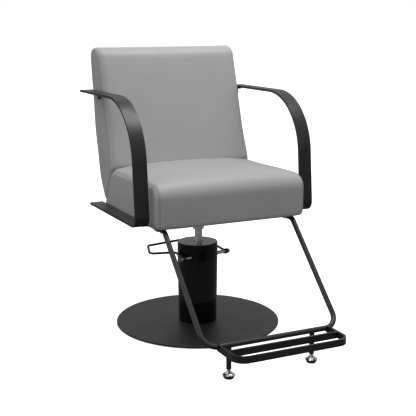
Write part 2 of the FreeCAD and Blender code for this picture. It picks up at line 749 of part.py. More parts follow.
def make_arms():
    """Each armrest is one flat bar bent in its own YZ plane, with tabs welded below for the seat board."""
    tab_screws = []
    bracket_screws = []
    slope = "(armFrontTop - armFrontLow) / (armTop - armLow)"
    inset = "armThick / cos(atan(%s))" % slope
    for name, mirror in (("right", -1), ("left", 1)):
        arm = new_body("Arm_" + name)
        padded(
            arm,
            "YZ_Plane",
            [
                ("armRearTop", "armTop", "0"),
                ("armFrontTop", "armTop", "armBend"),
                ("armFrontLow", "armLow", "armFoot"),
                ("armRearLow", "armLow", "0"),
                ("armRearLow", "armLow + armThick", "0"),
                ("armFrontLow + %s + armThick * %s" % (inset, slope), "armLow + armThick", "armFoot - armThick"),
                ("armFrontTop + %s - armThick * %s" % (inset, slope), "armTop - armThick", "armBend - armThick"),
                ("armRearTop", "armTop - armThick", "0"),
            ],
            "armWidth",
        )
        middle = "armOuter - armWidth / 2"
        move(arm, middle if mirror > 0 else "0 - " + middle.replace("-", "+"))
        tabs = []
        for y in ("tabFront", "tabRear"):
            tab = new_body("Tab")
            padded(
                tab,
                "XZ_Plane",
                sharp(
                    ("armOuter - 6", "armLow"),
                    ("armOuter - armWidth + 0.6", "armLow"),
                    ("armOuter - armWidth + 0.6", "seatLow"),
                    ("tabInner", "seatLow"),
                    ("tabInner", "seatLow - tabThick"),
                    ("armOuter - armWidth + tabThick + 0.6", "seatLow - tabThick"),
                    ("armOuter - armWidth + tabThick + 0.6", "armLow - tabThick"),
                    ("armOuter - 6", "armLow - tabThick"),
                ),
                "tabWide",
            )
            move(tab, "0", y)
            if mirror < 0:
                tab.Placement = FreeCAD.Placement(Vector(0, value(y), 0), Rotation(Vector(0, 0, 1), 180))
                tab.setExpression("Placement.Base.x", None)
            tabs.append(tab)
            x = "tabInner + 9" if mirror > 0 else "0 - tabInner - 9"
            for step in (" - 13", " + 13"):
                tab_screws.append(
                    screw(x, y + step, "seatLow - tabThick", "+z", "tabScrew", "tabThick + 13", "tabScrewHead", "2.5")
                )
        nodes["arm_parts_" + name] = (arm, tabs)
        # angle bracket under the top bar: one leg against the bar, one against the backrest's side
        side = "seatHalf + 0.3" if mirror > 0 else "0 - seatHalf - 0.3 - 3"
        outward = "seatHalf + 0.3" if mirror > 0 else "0 - seatHalf - 0.3 - bracketLeg"
        upright = box("3", "bracketWide", "bracketLeg", side, "bracketY", "armTop - armThick - bracketLeg")
        level = box("bracketLeg", "bracketWide", "3", outward, "bracketY", "armTop - armThick - 3")
        up_x = "seatHalf + 15" if mirror > 0 else "0 - seatHalf - 15"
        into = "-x" if mirror > 0 else "+x"
        face = "seatHalf + 3.3" if mirror > 0 else "0 - seatHalf - 3.3"
        mid_y = "bracketY + bracketWide / 2"
        up_screw = screw(up_x, mid_y, "armTop - armThick - 3", "+z", "2.5", "8", "5", "2.5")
        in_screw = screw(face, mid_y, "armTop - armThick - 13", into, "2.5", "28", "5", "2.5")
        bracket_screws.append((up_screw, in_screw))
        nodes["bracket_" + name] = cut(fuse(upright, level), up_screw, in_screw)
    tab_group = keep(group(*tab_screws), "arm_screws")
    for index, name in enumerate(("right", "left")):
        arm, tabs = nodes.pop("arm_parts_" + name)
        up_screw, in_screw = bracket_screws[index]
        keep(cut(fuse(arm, *tabs), tab_group, up_screw), name + "_arm")
        keep(nodes.pop("bracket_" + name), name + "_arm_bracket")
    all_screws = keep(group(*[item for pair in bracket_screws for item in pair]), "bracket_screws")
    return tab_group, all_screws


# --- footrest -----------------------------------------------------------------------------------


def bent_wire(corners):
    """Straight runs through the corners (point, radius) with a tangent arc at each inner one."""
    edges = []
    start = corners[0][0]
    for i in range(1, len(corners) - 1):
        spot, radius = corners[i]
        before = (corners[i - 1][0] - spot).normalize()
        after = (corners[i + 1][0] - spot).normalize()
        half = before.getAngle(after) / 2
        reach = radius / math.tan(half)
        centre = spot + (before + after).normalize() * (radius / math.sin(half))
        middle = centre + (spot - centre).normalize() * radius
        edges.append(Part.LineSegment(start, spot + before * reach).toShape())
        edges.append(Part.Arc(spot + before * reach, middle, spot + after * reach).toShape())
        start = spot + after * reach
    edges.append(Part.LineSegment(start, corners[-1][0]).toShape())
    return Part.Wire(edges)


def bent_tube(name, wire, radius, normal):
    spine = doc.addObject("Part::Feature", name + "Line")
    spine.Shape = wire
    circle = doc.addObject("Part::Circle", name + "Section")
    bind(circle, "Radius", radius)
    circle.Placement = FreeCAD.Placement(wire.Edges[0].Vertexes[0].Point, directions[normal])
    tube = doc.addObject("Part::Sweep", name)
    tube.Sections = [circle]
    tube.Spine = (spine, [])
    tube.Solid = True
    tube.Transition = "Round corner"
    return tube


def make_footrest():
    """One bent tube is both hangers and the rear bar of the footrest."""
    x = value("legX")
    top_round = value("legTopRound")
    bar_round = value("barRound")
    corners = [
        (Vector(-x, value("legStart"), value("legTopZ")), 0),
        (Vector(-x, value("legTopY"), value("legTopZ")), top_round),
        (Vector(-x, value("barY"), value("barZ")), bar_round),
        (Vector(x, value("barY"), value("barZ")), bar_round),
        (Vector(x, value("legTopY"), value("legTopZ")), top_round),
        (Vector(x, value("legStart"), value("legTopZ")), 0),
    ]
    wire = bent_wire(corners)
    outer = bent_tube("FootrestTube", wire, "tubeOuter", "-y")
    inner = bent_tube("FootrestBore", wire, "tubeInner", "-y")
    keep(cut(outer, inner), "footrest_tube")

    frame = new_body("FootrestFrame")
    sketch = new_sketch(frame, "XY_Plane")
    half = "frameHalf"
    front = "frameFront"
    thick = "frameThick"
    outline(
        sketch,
        [
            ("0 - " + half, "barY", "0"),
            ("0 - " + half, front, "frameRound"),
            (half, front, "frameRound"),
            (half, "barY", "0"),
            (half + " - " + thick, "barY", "0"),
            (half + " - " + thick, front + " + " + thick, "frameRound - frameThick"),
            ("0 - " + half + " + " + thick, front + " + " + thick, "frameRound - frameThick"),
            ("0 - " + half + " + " + thick, "barY", "0"),
        ],
    )
    pad = frame.newObject("PartDesign::Pad", "Bar")
    pad.Profile = sketch
    bind(pad, "Length", "frameHigh")
    move(frame, "0", "0", "frameTop - frameHigh")
    solid_tube = bent_tube("FrameCope", wire, "tubeOuter", "-y")
    keep(cut(frame, solid_tube), "footrest_frame")
    slat = box(
        "frameHalf * 2 - frameThick * 2", "frameThick", "frameHigh",
        "0 - frameHalf + frameThick", "slatY - frameThick / 2", "frameTop - frameHigh",
    )
    keep(slat, "footrest_slat")

    posts = []
    for side in ("0 - postX", "postX"):
        post = rod("postRadius", "barZ - postLow", side, "postY", "postLow")
        bore = rod("glideStem + runFit", "46", side, "postY", "postLow - 1")
        posts.append(cut(post, bore, solid_tube))
    keep(group(*posts), "footrest_posts")

    saddles = []
    saddle_screws = []
    for side in ("0 - legX", "legX"):
        for y in ("saddleFront", "saddleRear"):
            band = rod("tubeOuter + saddleThick", "saddleWide", side, y, "legTopZ", "+y")
            walls = box(
                "(tubeOuter + saddleThick) * 2", "saddleWide", "seatLow - legTopZ",
                side + " - tubeOuter - saddleThick", y, "legTopZ",
            )
            feet = box(
                "(tubeOuter + saddleThick + saddleFoot) * 2", "saddleWide", "saddleThick",
                side + " - tubeOuter - saddleThick - saddleFoot", y, "seatLow - saddleThick",
            )
            room = rod("tubeOuter", "saddleWide + 2", side, y + " - 1", "legTopZ", "+y")
            above = box("80", "saddleWide + 2", "20", side + " - 40", y + " - 1", "seatLow")
            channel = box("tubeOuter * 2", "saddleWide + 2", "20", side + " - tubeOuter", y + " - 1", "legTopZ")
            # the outer foot would reach past the board, so each saddle keeps only its inner foot
            outer_side = side + (" + tubeOuter + saddleThick" if side == "legX" else " - 80 - tubeOuter - saddleThick")
            beyond = box("80", "saddleWide + 2", "20", outer_side, y + " - 1", "seatLow - 20")
            foot_x = side + (" - " if side == "legX" else " + ") + "(tubeOuter + saddleThick + saddleFoot / 2)"
            fixing = screw(
                foot_x, y + " + saddleWide / 2", "seatLow - saddleThick", "+z", "tabScrew", "saddleThick + 13",
                "tabScrewHead", "2.5",
            )
            saddle_screws.append(fixing)
            saddles.append(cut(fuse(band, walls, feet), room, above, channel, beyond, fixing))
    screws = keep(group(*saddle_screws), "saddle_screws")
    keep(group(*saddles), "footrest_saddles")
    return screws


def make_glides():
    """Each levelling glide is a threaded stem with a chrome foot pressed on a rubber sole."""
    for name, side in (("right", "0 - postX"), ("left", "postX")):
        stem = rod("glideStem", "postLow - glideLow + 26", side, "postY", "glideLow + 4")
        keep(stem, name + "_glide_stem")
        foot = turned(
            "GlideFoot",
            ("0", "glideLow"),
            ("glideRadius", "glideLow"),
            ("glideRadius", "glideLow + 1.5"),
            ("glideRadius - 8", "glideLow + 6"),
            ("glideStem + 2", "glideTop"),
            ("glideStem", "glideTop"),
            ("glideStem", "glideLow + 4"),
            ("0", "glideLow + 4"),
        )
        keep(move(foot, side, "postY"), name + "_glide_foot")
        pad = turned(
            "GlidePad",
            ("0", "0"),
            ("glideSole", "0"),
            ("glideRadius - 1", "glideLow - 3"),
            ("glideRadius", "glideLow"),
            ("0", "glideLow"),
        )
        keep(move(pad, side, "postY"), name + "_glide_pad")


base_bolts = make_base()
make_covers()
make_pump(base_bolts)
make_piston_and_ram()
make_pedal()
make_plunger()
seat_board, plate_bolts, board_inserts, strut_fixings = make_seat()
backrest_foam, backrest_cover = make_cushions(strut_fixings)
arm_screws, bracket_screws = make_arms()
saddle_fixings = make_footrest()
make_glides()
doc.recompute()
holes = [
    rod("insertRadius", "boardTop - boardLow", x, y, "boardLow")
    for x in ("plateBoltAt", "0 - plateBoltAt")
    for y in ("plateBoltAt", "0 - plateBoltAt")
]
keep(cut(seat_board, board_inserts, strut_fixings, arm_screws, saddle_fixings, *holes), "seat_board")
# the backrest is drilled for the bracket screws that go into its sides
keep(cut(backrest_foam, bracket_screws), "backrest_foam")
keep(cut(backrest_cover, bracket_screws), "backrest_cover")
doc.recompute()

faults = [item.Name for item in doc.Objects if "Invalid" in item.State or "Error" in item.State]
for name, item in nodes.items():
    if item.Shape.isNull() or not item.Shape.isValid() or item.Shape.Volume <= 0:
        faults.append(name)
if faults:
    raise SystemExit("failed: " + ", ".join(faults))

os.makedirs("parts", exist_ok=True)
for name, item in sorted(nodes.items()):
    item.Shape.exportStep("parts/%s.step" % name)
    bounds = item.Shape.BoundBox
    print("%-20s %2d solids  %10.0f mm3  x %.0f..%.0f  y %.0f..%.0f  z %.1f..%.1f" % (
        name, len(item.Shape.Solids), item.Shape.Volume, bounds.XMin, bounds.XMax,
        bounds.YMin, bounds.YMax, bounds.ZMin, bounds.ZMax,
    ))
print(len(nodes), "nodes")
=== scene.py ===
import bpy
import bmesh
import math
import numpy as np
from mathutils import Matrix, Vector


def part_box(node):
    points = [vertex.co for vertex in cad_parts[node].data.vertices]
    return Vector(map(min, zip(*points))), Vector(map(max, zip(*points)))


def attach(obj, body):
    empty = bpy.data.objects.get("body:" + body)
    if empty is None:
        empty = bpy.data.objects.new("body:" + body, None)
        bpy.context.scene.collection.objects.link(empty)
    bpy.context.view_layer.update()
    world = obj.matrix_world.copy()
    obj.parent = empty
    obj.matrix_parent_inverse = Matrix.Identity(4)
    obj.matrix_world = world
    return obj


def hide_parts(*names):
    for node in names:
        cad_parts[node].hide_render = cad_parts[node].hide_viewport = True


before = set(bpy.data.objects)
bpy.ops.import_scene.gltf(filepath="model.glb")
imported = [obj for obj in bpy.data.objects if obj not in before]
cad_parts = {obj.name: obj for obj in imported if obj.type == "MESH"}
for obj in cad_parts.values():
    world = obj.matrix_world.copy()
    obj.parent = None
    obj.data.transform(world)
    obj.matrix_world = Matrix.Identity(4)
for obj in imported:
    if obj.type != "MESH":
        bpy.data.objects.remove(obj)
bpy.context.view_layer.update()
print("frame loaded")


# small helpers, used by every piece

def deselectAll():
    if bpy.context.mode != "OBJECT":
        bpy.ops.object.mode_set(mode="OBJECT")
    bpy.ops.object.select_all(action="DESELECT")


def makeActive(piece):
    deselectAll()
    piece.select_set(True)
    bpy.context.view_layer.objects.active = piece


def startEditing(piece, kind="EDGE"):
    makeActive(piece)
    bpy.ops.object.mode_set(mode="EDIT")
    bpy.ops.mesh.select_mode(type=kind)


def stopEditing():
    bpy.ops.object.mode_set(mode="OBJECT")


def addBox(name, low, high):
    deselectAll()
    centre = [(a + b) / 2 for a, b in zip(low, high)]
    size = [b - a for a, b in zip(low, high)]
    bpy.ops.mesh.primitive_cube_add(size=1, location=centre)
    piece = bpy.context.object
    piece.name = name
    piece.scale = size
    bpy.ops.object.transform_apply(location=True, rotation=True, scale=True)
    return piece


def chooseEdges(piece, wanted, sharp=False):
    # wanted gets the places of an edge's two ends; sharp leaves out edges that lie in a flat face
    mesh = bmesh.from_edit_mesh(piece.data)
    for part in (mesh.faces, mesh.edges, mesh.verts):
        for item in part:
            item.select = False
    for edge in mesh.edges:
        if sharp and edge.calc_face_angle(0) < 0.1:
            continue
        if wanted(edge.verts[0].co, edge.verts[1].co):
            edge.select_set(True)
    mesh.select_flush_mode()
    bmesh.update_edit_mesh(piece.data)


def near(value, target, reach=0.0006):
    return abs(value - target) < reach


def onSide(a, b, half):
    return near(abs(a.x), half) and near(abs(b.x), half) and a.x * b.x > 0


def onLine(a, b, y, z):
    # an edge that runs across the chair, this far back and this high
    return all(near(p.y, y) and near(p.z, z) for p in (a, b))


def applyModifier(piece, kind, **settings):
    makeActive(piece)
    modifier = piece.modifiers.new(kind.title(), kind)
    for key, value in settings.items():
        setattr(modifier, key, value)
    bpy.ops.object.modifier_apply(modifier=modifier.name)


def readPoints(piece):
    flat = np.zeros(len(piece.data.vertices) * 3)
    piece.data.vertices.foreach_get("co", flat)
    return flat.reshape(-1, 3)


def writePoints(piece, points):
    piece.data.vertices.foreach_set("co", np.ascontiguousarray(points).ravel())
    piece.data.update()


# materials, each with its own fine surface detail

def newMaterial(name, colour, roughness, metallic=0.0):
    material = bpy.data.materials.new(name)
    material.use_nodes = True
    shader = material.node_tree.nodes["Principled BSDF"]
    shader.inputs["Base Color"].default_value = (*colour, 1)
    shader.inputs["Roughness"].default_value = roughness
    shader.inputs["Metallic"].default_value = metallic
    return material, material.node_tree, shader


def addNoise(tree, scale, detail=3.0, stretch=(1, 1, 1)):
    coordinates = tree.nodes.new("ShaderNodeTexCoord")
    mapping = tree.nodes.new("ShaderNodeMapping")
    mapping.inputs["Scale"].default_value = stretch
    noise = tree.nodes.new("ShaderNodeTexNoise")
    noise.inputs["Scale"].default_value = scale
    noise.inputs["Detail"].default_value = detail
    tree.links.new(coordinates.outputs["Object"], mapping.inputs["Vector"])
    tree.links.new(mapping.outputs["Vector"], noise.inputs["Vector"])
    return noise.outputs["Fac"]


def addCells(tree, scale):
    coordinates = tree.nodes.new("ShaderNodeTexCoord")
    cells = tree.nodes.new("ShaderNodeTexVoronoi")
    cells.inputs["Scale"].default_value = scale
    cells.inputs["Randomness"].default_value = 1.0
    tree.links.new(coordinates.outputs["Object"], cells.inputs["Vector"])
    return cells.outputs["Distance"]


def varyColour(tree, shader, source, dark, light, low=0.35, high=0.65):
    ramp = tree.nodes.new("ShaderNodeValToRGB")
    ramp.color_ramp.elements[0].position = low
    ramp.color_ramp.elements[0].color = (*dark, 1)
    ramp.color_ramp.elements[1].position = high
    ramp.color_ramp.elements[1].color = (*light, 1)
    tree.links.new(source, ramp.inputs["Fac"])
    tree.links.new(ramp.outputs["Color"], shader.inputs["Base Color"])


def varyRoughness(tree, shader, source, low, high):
    spread = tree.nodes.new("ShaderNodeMapRange")
    spread.inputs["From Min"].default_value = 0.3
    spread.inputs["From Max"].default_value = 0.7
    spread.inputs["To Min"].default_value = low
    spread.inputs["To Max"].default_value = high
    tree.links.new(source, spread.inputs["Value"])
    tree.links.new(spread.outputs["Result"], shader.inputs["Roughness"])


def addBump(tree, shader, layers):
    # layers: (height source, strength, depth in metres), from broad to fine
    normal = None
    for source, strength, depth in layers:
        bump = tree.nodes.new("ShaderNodeBump")
        bump.inputs["Strength"].default_value = strength
        bump.inputs["Distance"].default_value = depth
        tree.links.new(source, bump.inputs["Height"])
        if normal is not None:
            tree.links.new(normal, bump.inputs["Normal"])
        normal = bump.outputs["Normal"]
    tree.links.new(normal, shader.inputs["Normal"])


def vinyl(name, tone):
    # smooth upholstery vinyl: soft broad mottling, a fine pebbled grain and faint creasing
    material, tree, shader = newMaterial(name, (tone, tone, tone), 0.44)
    broad = addNoise(tree, 9, 4)
    grain = addCells(tree, 900)
    creases = addNoise(tree, 60, 5)
    varyColour(tree, shader, broad, (tone * 0.975,) * 3, (tone * 1.015, tone * 1.015, tone * 1.02))
    varyRoughness(tree, shader, creases, 0.42, 0.5)
    addBump(tree, shader, [(creases, 0.05, 0.0008), (grain, 0.14, 0.0003)])
    shader.inputs["Specular IOR Level"].default_value = 0.42
    return material


def powderCoat(name, tone, roughness, peel=420, lift=0.16, wear=0.15):
    # satin powder coat: fine orange peel and slightly polished patches from handling
    material, tree, shader = newMaterial(name, (tone, tone, tone), roughness)
    handling = addNoise(tree, 14, 5)
    surface = addNoise(tree, peel, 2)
    varyColour(tree, shader, handling, (tone * (1 - wear),) * 3, (tone * (1 + wear),) * 3)
    varyRoughness(tree, shader, handling, roughness - wear / 3, roughness + wear / 2)
    addBump(tree, shader, [(surface, lift, 0.0004)])
    return material


def glossEnamel(name, tone, specular):
    # near-black enamel over drawn steel, with light dust and long polishing waves
    material, tree, shader = newMaterial(name, (tone, tone, tone * 1.03), 0.15)
    dust = addNoise(tree, 30, 6)
    waves = addNoise(tree, 22, 2, (1, 1, 0.15))
    varyColour(tree, shader, dust, (tone * 0.8,) * 3, (tone * 1.4,) * 3)
    varyRoughness(tree, shader, dust, 0.13, 0.17)
    shader.inputs["Specular IOR Level"].default_value = specular
    addBump(tree, shader, [(waves, 0.03, 0.001)])
    return material


def metal(name, colour, roughness, stretch=(1, 1, 1), scale=180, lift=0.08):
    # bare or plated metal with machining marks drawn out along the stretch
    material, tree, shader = newMaterial(name, colour, roughness, 1.0)
    marks = addNoise(tree, scale, 6, stretch)
    stains = addNoise(tree, 25, 4)
    varyColour(tree, shader, stains, [c * 0.85 for c in colour], [min(1, c * 1.08) for c in colour])
    varyRoughness(tree, shader, marks, roughness * 0.75, roughness * 1.35)
    addBump(tree, shader, [(marks, lift, 0.0002)])
    return material


def rubberMaterial(name):
    material, tree, shader = newMaterial(name, (0.018, 0.018, 0.018), 0.8)
    mottle = addNoise(tree, 120, 5)
    varyColour(tree, shader, mottle, (0.012,) * 3, (0.03,) * 3)
    varyRoughness(tree, shader, mottle, 0.7, 0.92)
    addBump(tree, shader, [(mottle, 0.2, 0.0005)])
    return material


def plywood(name):
    # rotary-cut birch face: long grain across the seat with darker streaks
    material, tree, shader = newMaterial(name, (0.5, 0.34, 0.19), 0.6)
    streaks = addNoise(tree, 24, 8, (0.6, 9, 9))
    pores = addNoise(tree, 260, 4, (0.2, 1, 1))
    varyColour(tree, shader, streaks, (0.36, 0.22, 0.11), (0.6, 0.43, 0.26))
    varyRoughness(tree, shader, pores, 0.5, 0.75)
    addBump(tree, shader, [(streaks, 0.15, 0.0006), (pores, 0.2, 0.0003)])
    return material


greyVinyl = vinyl("Grey vinyl", 0.40)
seamThread = vinyl("Seam thread", 0.34)
# the seam fold vinyl is painted shade: a dark vinyl for the thin tube laid in each seam's valley
seamShadow = vinyl("Painted seam shade", 0.16)
satinBlack = powderCoat("Satin black powder coat", 0.011, 0.36)
tubeBlack = powderCoat("Semi-gloss tube coat", 0.014, 0.27, 420, 0.08)
discBlack = powderCoat("Charcoal base finish", 0.016, 0.5, 700, 0.2, 0.07)
pumpBlack = glossEnamel("Pump enamel", 0.002, 0.4)
pumpDark = glossEnamel("Lower pump enamel", 0.001, 0.2)
capBlack = glossEnamel("Cap enamel", 0.002, 0.3)
groundSteel = metal("Ground ram steel", (0.88, 0.88, 0.89), 0.36, (6, 6, 0.4))
brightChrome = metal("Bright chrome", (0.52, 0.53, 0.54), 0.1, scale=60, lift=0.02)
axleChrome = metal("Axle end plating", (0.6, 0.6, 0.61), 0.2, scale=90, lift=0.04)
zincPlate = metal("Zinc plating", (0.55, 0.55, 0.5), 0.35, scale=140)
plainSteel = metal("Machined steel", (0.4, 0.4, 0.4), 0.38, (4, 4, 1))
castIron = metal("Cast iron", (0.16, 0.16, 0.16), 0.6, scale=90, lift=0.3)
bronze = metal("Sintered bronze", (0.5, 0.33, 0.14), 0.4, scale=300)
blackRubber = rubberMaterial("Black rubber")
birchPly = plywood("Birch plywood")

nodeFinishes = [
    (satinBlack, ["right_arm", "left_arm", "right_arm_bracket", "left_arm_bracket"]),
    (tubeBlack, ["footrest_tube", "footrest_frame", "footrest_slat", "footrest_posts", "pedal_loop"]),
    (discBlack, ["base_disc"]),
    (pumpBlack, ["middle_cover"]),
    (capBlack, ["cap_cover"]),
    (pumpDark, ["lower_cover"]),
    (groundSteel, ["lift_ram", "seat_hub"]),
    (brightChrome, ["right_glide_foot", "left_glide_foot"]),
    (axleChrome, ["axle_screws", "pedal_axle"]),
    (zincPlate, ["base_bolts", "head_bolts", "plate_bolts", "board_inserts", "strut_screws", "arm_screws",
                 "bracket_screws", "footrest_saddles", "saddle_screws", "right_glide_stem",
                 "left_glide_stem"]),
    (plainSteel, ["cylinder_tube", "piston_head", "pedal_rocker", "plunger_barrel", "pump_plunger",
                  "plunger_spring", "seat_plate", "back_struts"]),
    (castIron, ["pump_tank", "pump_head"]),
    (bronze, ["ram_bush", "axle_bushes", "thrust_washer"]),
    (blackRubber, ["floor_pad", "right_glide_pad", "left_glide_pad", "piston_seal", "ram_wiper"]),
    (birchPly, ["seat_board", "back_board"]),
]
for finish, nodeNames in nodeFinishes:
    for nodeName in nodeNames:
        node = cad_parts[nodeName]
        node.data.materials.clear()
        node.data.materials.append(finish)
print("materials done")


# making of the padded pieces and their seams

def evenOut(piece, field, rounds):
    # each point's value drifts towards the mean of its neighbours', so creases go and the broad swell stays
    ends = np.zeros(len(piece.data.edges) * 2, dtype=np.int64)
    piece.data.edges.foreach_get("vertices", ends)
    first, second = ends.reshape(-1, 2).T
    count = np.bincount(ends, minlength=len(field)).reshape(-1, 1)
    for turn in range(rounds):
        total = np.zeros_like(field)
        for axis in range(field.shape[1]):
            total[:, axis] += np.bincount(first, field[second, axis], len(field))
            total[:, axis] += np.bincount(second, field[first, axis], len(field))
        field = 0.4 * field + 0.6 * total / count
    return field


def inflate(piece, pad, keepInside):
    # cloth blown up a little from inside: it swells between its corners, each point by no more than reach
    applyModifier(piece, "REMESH", mode="VOXEL", voxel_size=pad["voxel"])
    before = readPoints(piece)
    makeActive(piece)
    cloth = piece.modifiers.new("Cloth", "CLOTH")
    cloth.settings.quality = 5
    cloth.settings.use_pressure = True
    cloth.settings.uniform_pressure_force = pad["pressure"]
    cloth.settings.effector_weights.gravity = 0
    cloth.collision_settings.use_collision = False
    scene = bpy.context.scene
    scene.frame_start = 1
    scene.frame_end = pad["frames"]
    for step in range(1, pad["frames"] + 1):
        scene.frame_set(step)
    bpy.ops.object.modifier_apply(modifier=cloth.name)
    scene.frame_set(1)
    moved = evenOut(piece, readPoints(piece) - before, pad["evenRounds"])
    length = np.linalg.norm(moved, axis=1, keepdims=True)
    softened = pad["reach"] * np.tanh(length / pad["reach"])
    writePoints(piece, keepInside(before + moved * softened / np.maximum(length, 1e-9)))
    print(piece.name, "swelled by up to", round(float(softened.max()) * 1000, 1), "mm")


def smoothPiece(piece, rounds):
    applyModifier(piece, "SMOOTH", factor=0.5, iterations=rounds)


def finishPad(piece, material, levels=1):
    makeActive(piece)
    applyModifier(piece, "SUBSURF", levels=levels, render_levels=levels)
    bpy.ops.object.shade_smooth()
    piece.data.materials.clear()
    piece.data.materials.append(material)


def alongRoute(corners, spacing):
    # evenly spaced points along straight runs through the corners
    places = []
    for start, end in zip(corners[:-1], corners[1:]):
        steps = max(1, round((end - start).length / spacing))
        places += [start.lerp(end, step / steps) for step in range(steps)]
    return places + [corners[-1]]


def ontoSurface(piece, places, offset=0.0):
    landed = []
    for place in places:
        found, spot, normal, face = piece.closest_point_on_mesh(place)
        landed.append((spot + normal * offset, normal))
    return landed


def pressSeam(piece, landed, depth, width):
    # the cover pulls down into a valley along the seam
    points = readPoints(piece)
    normals = np.zeros(len(points) * 3)
    piece.data.vertices.foreach_get("normal", normals)
    normals = normals.reshape(-1, 3)
    nearest = np.full(len(points), 1.0)
    route = np.array([list(spot) for spot, normal in landed])
    for start, end in zip(route[:-1], route[1:]):
        run = end - start
        share = np.clip(((points - start) @ run) / max(run @ run, 1e-12), 0, 1)
        gap = np.linalg.norm(points - (start + share[:, None] * run), axis=1)
        nearest = np.minimum(nearest, gap)
    valley = depth * np.exp(-(nearest / width) ** 2)
    writePoints(piece, points - normals * valley[:, None])


def sewSeam(name, piece, places, cord, stitch, sides):
    # a thin closed dark tube along the seam, painted shade in the seam's valley, with a row of short
    # stitches beside it
    landed = ontoSurface(piece, places, cord["lift"])
    deselectAll()
    curve = bpy.data.curves.new(name, "CURVE")
    curve.dimensions = "3D"
    curve.bevel_depth = cord["radius"]
    curve.bevel_resolution = 2
    curve.use_fill_caps = True
    line = curve.splines.new("POLY")
    line.points.add(len(landed) - 1)
    for point, (spot, normal) in zip(line.points, landed):
        point.co = (*spot, 1)
    seam = bpy.data.objects.new(name, curve)
    bpy.context.collection.objects.link(seam)
    makeActive(seam)
    bpy.ops.object.convert(target="MESH")
    seam = bpy.context.object
    bpy.ops.object.shade_smooth()
    seam.data.materials.append(seamShadow)
    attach(seam, "chair")
    stitches = bmesh.new()
    travelled = 0.0
    for index in range(1, len(landed) - 1):
        spot, normal = landed[index]
        ahead = landed[index + 1][0] - landed[index - 1][0]
        travelled += (spot - landed[index - 1][0]).length
        if travelled < stitch["pitch"] or ahead.length < 1e-6:
            continue
        travelled = 0.0
        ahead.normalize()
        across = ahead.cross(normal).normalized()
        for side in sides:
            middle = spot + across * side * stitch["away"]
            found, middle, outward, face = piece.closest_point_on_mesh(middle)
            addStitch(stitches, middle + outward * stitch["lift"], ahead, outward, stitch)
    mesh = bpy.data.meshes.new(name + "Stitches")
    stitches.to_mesh(mesh)
    stitches.free()
    row = bpy.data.objects.new(name + "Stitches", mesh)
    bpy.context.collection.objects.link(row)
    makeActive(row)
    bpy.ops.object.shade_smooth()
    mesh.materials.append(seamThread)
    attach(row, "chair")


def addStitch(mesh, middle, ahead, outward, stitch):
    # one stitch: a six-sided thread, thick in the middle and pulled in at both ends
    across = ahead.cross(outward).normalized()
    rings = []
    for share, size in ((-1.0, 0.25), (-0.55, 0.9), (0.55, 0.9), (1.0, 0.25)):
        centre = middle + ahead * share * stitch["length"] / 2
        ring = []
        for turn in range(6):
            angle = math.tau * turn / 6
            side = across * math.cos(angle) + outward * math.sin(angle)
            ring.append(mesh.verts.new(centre + side * stitch["thread"] * size))
        rings.append(ring)
    for first, second in zip(rings[:-1], rings[1:]):
        for turn in range(6):
            following = (turn + 1) % 6
            mesh.faces.new((first[turn], second[turn], second[following], first[following]))
    mesh.faces.new(rings[0])
    mesh.faces.new(rings[-1][::-1])


stitch = {"pitch": 0.0042, "length": 0.003, "thread": 0.00028, "away": 0.0035, "lift": 0.00005}
# the seam cord is a thin dark tube of painted shade, sunk just into the seam's valley; step and cornerSteps
# also space the seam routes
seamCord = {"radius": 0.0006, "lift": -0.0001, "step": 0.0042, "cornerSteps": 8}

# seat cushion

seat = {
    "topRear": 0.130,        # where the top meets the backrest
    "sideTop": 0.576,        # height of the side seam
    "crown": 0.010,
    "crownStart": 0.09,      # the crown is full this far behind the front
    "sideSwell": 0.001,
    "frontSwell": 0.005,
    "frontRound": 0.050,
    "edgeRound": 0.020,
    "lowRound": 0.008,
    "tightRound": 0.005,
    "seamDepth": 0.0011,
    "seamWidth": 0.0038,
    "seamTop": 0.004,
    "seamFront": 0.012,
    "rearDip": 0.008,        # the side seams run down towards the backrest
    "rearReach": 0.006,
    "voxel": 0.006,
    "pressure": 4.0,
    "reach": 0.005,
    "evenRounds": 200,
    "frames": 20,
}


